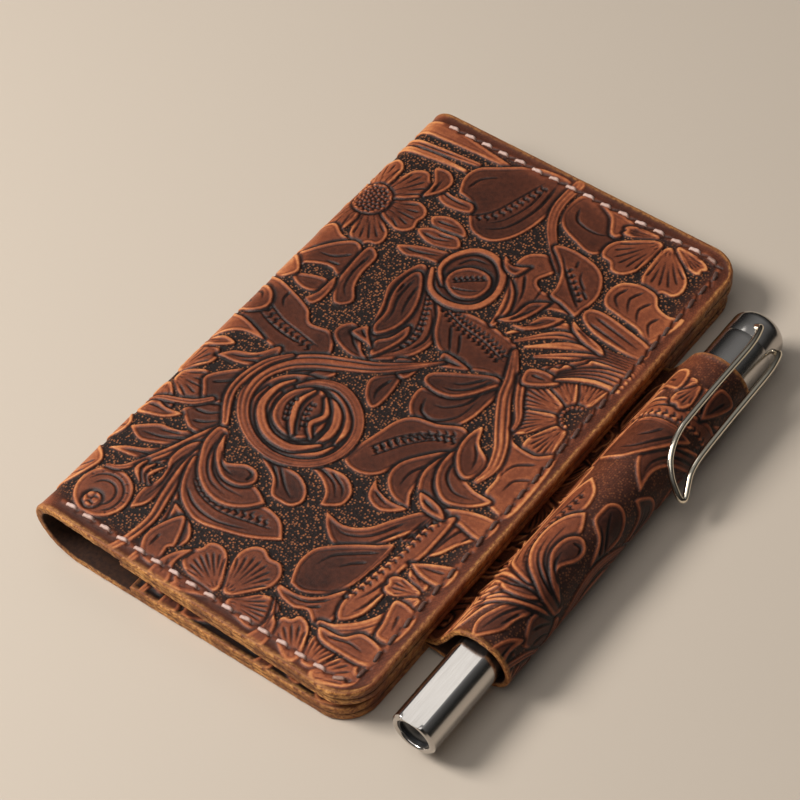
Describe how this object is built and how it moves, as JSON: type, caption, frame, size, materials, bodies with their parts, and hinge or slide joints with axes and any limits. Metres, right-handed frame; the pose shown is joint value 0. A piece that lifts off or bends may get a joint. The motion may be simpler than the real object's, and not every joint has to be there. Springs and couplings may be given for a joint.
{
  "type": "leather notebook cover",
  "caption": "Pocket-size tooled leather notebook cover, closed, with inner pockets, sewn edges and a side loop holding a capped metal pen.",
  "frame": {"origin": "centre of the flat face of the back cover that the closed cover lies on", "axes": "+X from the spine to the fore-edge and pen loop, +Y along the spine to the pen's cap end, +Z out of the front cover"},
  "size_m": [0.1226, 0.152, 0.0187],
  "materials": {
    "tooled_leather": "carved floral tooling, waxed and antiqued, burnished rims",
    "pocket_leather": "tooled, waxed, matt",
    "loop_leather": "tooled, waxed, raw golden edges",
    "thread": "waxed twisted thread",
    "satin_metal": "satin, brushed along the pen",
    "bright_wire": "polished",
    "dark_plastic": "matt",
    "refill_plastic": "plain"
  },
  "bodies": {
    "back_cover": {"back_shell": "tooled_leather", "back_pocket": "pocket_leather", "back_stitching": "thread", "pen_loop": "loop_leather"},
    "spine": {"spine_shell": "tooled_leather"},
    "front_cover": {"front_shell": "tooled_leather", "front_pocket": "pocket_leather", "front_stitching": "thread"},
    "pen_barrel": {"pen_barrel": "satin_metal", "pen_end_plug": "dark_plastic", "pen_grip": "dark_plastic", "pen_tip": "satin_metal", "pen_refill": "refill_plastic"},
    "pen_cap": {"cap_tube": "satin_metal", "cap_crown": "satin_metal", "cap_liner": "dark_plastic"},
    "pen_clip": {"pen_clip": "bright_wire"}
  },
  "joints": [
    {"name": "spine_fold", "type": "hinge", "parent": "back_cover", "child": "spine", "pos_m": [-0.04476, 0, 0.00325], "axis": [0, -1, 0], "range_deg": [0, 90]},
    {"name": "front_fold", "type": "hinge", "parent": "spine", "child": "front_cover", "pos_m": [-0.0458, 0, 0.01648], "axis": [0, -1, 0], "range_deg": [0, 94.2]},
    {"name": "pen_slide", "type": "slide", "parent": "back_cover", "child": "pen_barrel", "axis": [0, 1, 0], "range_m": [0, 0.125]},
    {"name": "cap_pull", "type": "slide", "parent": "pen_barrel", "child": "pen_cap", "axis": [0, 1, 0], "range_m": [0, 0.052]},
    {"name": "clip_flex", "type": "hinge", "parent": "pen_cap", "child": "pen_clip", "pos_m": [0.06467, 0.057, 0.01161], "axis": [-0.6157, 0, 0.788], "range_deg": [0, 4], "stiffness_Nm_per_rad": 0.8}
  ],
  "couplings": [
    {"joint": "front_fold", "follows": "spine_fold", "ratio": 1.0467}
  ]
}
